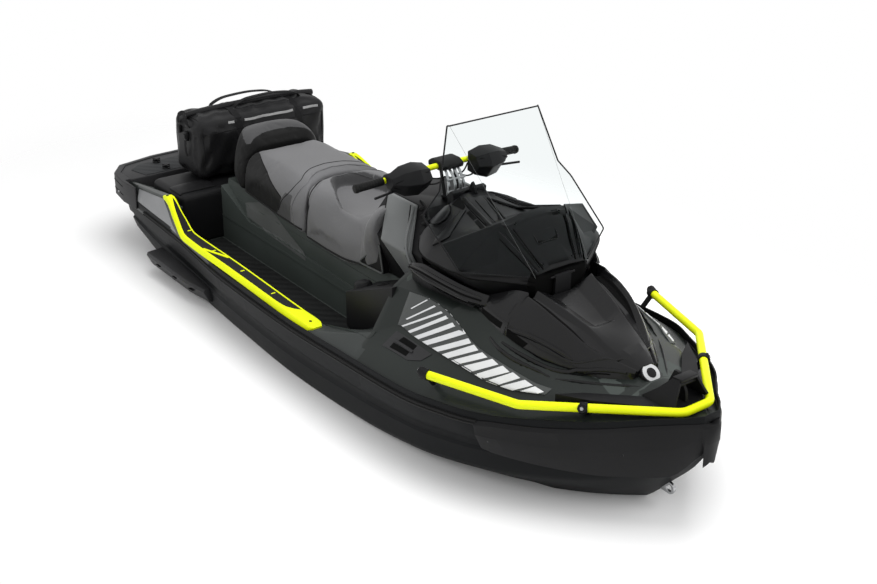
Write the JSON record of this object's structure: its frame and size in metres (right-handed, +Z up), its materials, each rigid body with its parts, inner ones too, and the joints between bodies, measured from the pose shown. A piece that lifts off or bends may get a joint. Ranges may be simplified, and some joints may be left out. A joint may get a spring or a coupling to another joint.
{
  "type": "personal watercraft",
  "caption": "Long touring personal watercraft with a stepped seat, clear windshield, bow rail and a dry bag across its rear deck.",
  "frame": {"origin": "on the centreline at the waterline, 18 mm ahead of mid-length", "axes": "+X to the bow, +Y to port, +Z up"},
  "size_m": [3.706, 1.275, 1.433],
  "materials": {
    "gelcoat_dark": "semi-gloss dark grey moulded hull",
    "deck_grey": "satin dark grey moulded deck",
    "black_plastic": "textured black moulding",
    "gloss_black": "gloss black moulding",
    "mat_grey": "embossed foam traction mat",
    "trim_yellow": "yellow moulded trim",
    "rail_yellow": "powder-coated yellow tube",
    "rubber_black": "black rubber",
    "fairing_grey": "striped grey panel",
    "cowl_grey": "satin light grey cowl",
    "panel_grey": "light grey quarter panel",
    "clear": "clear polycarbonate",
    "seat_light": "light grey marine vinyl",
    "seat_dark": "dark grey marine vinyl",
    "pedestal_green": "dark green-grey side panel",
    "bag_fabric": "coated black dry-bag fabric",
    "steel": "stainless steel",
    "aluminium": "cast and machined aluminium",
    "engine_grey": "plain block for the engine"
  },
  "bodies": {
    "craft": {"hull": "gelcoat_dark", "deck": "deck_grey", "rear_platform": "black_plastic", "rear_bumper": "black_plastic", "rear_mat": "mat_grey", "footwell_mats": "mat_grey", "footwell_trims": "trim_yellow", "trim_inserts": "black_plastic", "rub_rail": "rubber_black", "bow_fascia": "black_plastic", "hood": "gloss_black", "side_fairings": "fairing_grey", "wind_deflectors": "gloss_black", "console": "black_plastic", "side_cowls": "cowl_grey", "lid_hinge": "steel", "seat_front": "seat_light", "seat_rear": "seat_light", "seat_hump": "seat_dark", "footwell_boxes": "black_plastic", "pedestal_panels": "pedestal_green", "quarter_panels": "panel_grey", "bag": "bag_fabric", "bag_straps": "bag_fabric", "bow_rail": "rail_yellow", "rail_clamps": "black_plastic", "bow_bracket": "black_plastic", "bow_eye": "steel", "stern_eyes": "steel", "sponsons": "black_plastic", "cleats": "black_plastic", "deck_locks": "black_plastic", "engine": "engine_grey", "pump_housing": "aluminium", "ride_plate": "aluminium", "intake_grate": "aluminium"},
    "steering": {"handlebar": "rail_yellow", "grips": "rubber_black", "hand_guards": "black_plastic", "levers": "aluminium", "steering_riser": "aluminium", "bar_pad": "rubber_black"},
    "jet_nozzle": {"steering_nozzle": "aluminium"},
    "bucket": {"reverse_bucket": "black_plastic"},
    "drive": {"impeller": "steel"},
    "lid": {"storage_lid": "black_plastic", "windshield_base": "black_plastic", "windshield": "clear", "gauge_pod": "black_plastic"}
  },
  "joints": [
    {"name": "steering_turn", "type": "hinge", "parent": "craft", "child": "steering", "pos_m": [0.35, 0, 0.8], "axis": [-0.2588, 0, 0.9659], "range_deg": [-22, 22]},
    {"name": "nozzle_steer", "type": "hinge", "parent": "craft", "child": "jet_nozzle", "pos_m": [-1.681, 0, -0.07], "axis": [0, 0, 1], "range_deg": [-20, 20]},
    {"name": "bucket_drop", "type": "hinge", "parent": "craft", "child": "bucket", "pos_m": [-1.656, 0, -0.07], "axis": [0, -1, 0], "range_deg": [0, 62]},
    {"name": "drive_spin", "type": "hinge", "parent": "craft", "child": "drive", "pos_m": [-1.481, 0, -0.07], "axis": [1, 0, 0], "continuous": true},
    {"name": "lid_lift", "type": "hinge", "parent": "craft", "child": "lid", "pos_m": [1.03, 0, 0.7], "axis": [0, 1, 0], "range_deg": [0, 50]}
  ],
  "couplings": [
    {"joint": "nozzle_steer", "follows": "steering_turn", "ratio": -0.9}
  ]
}
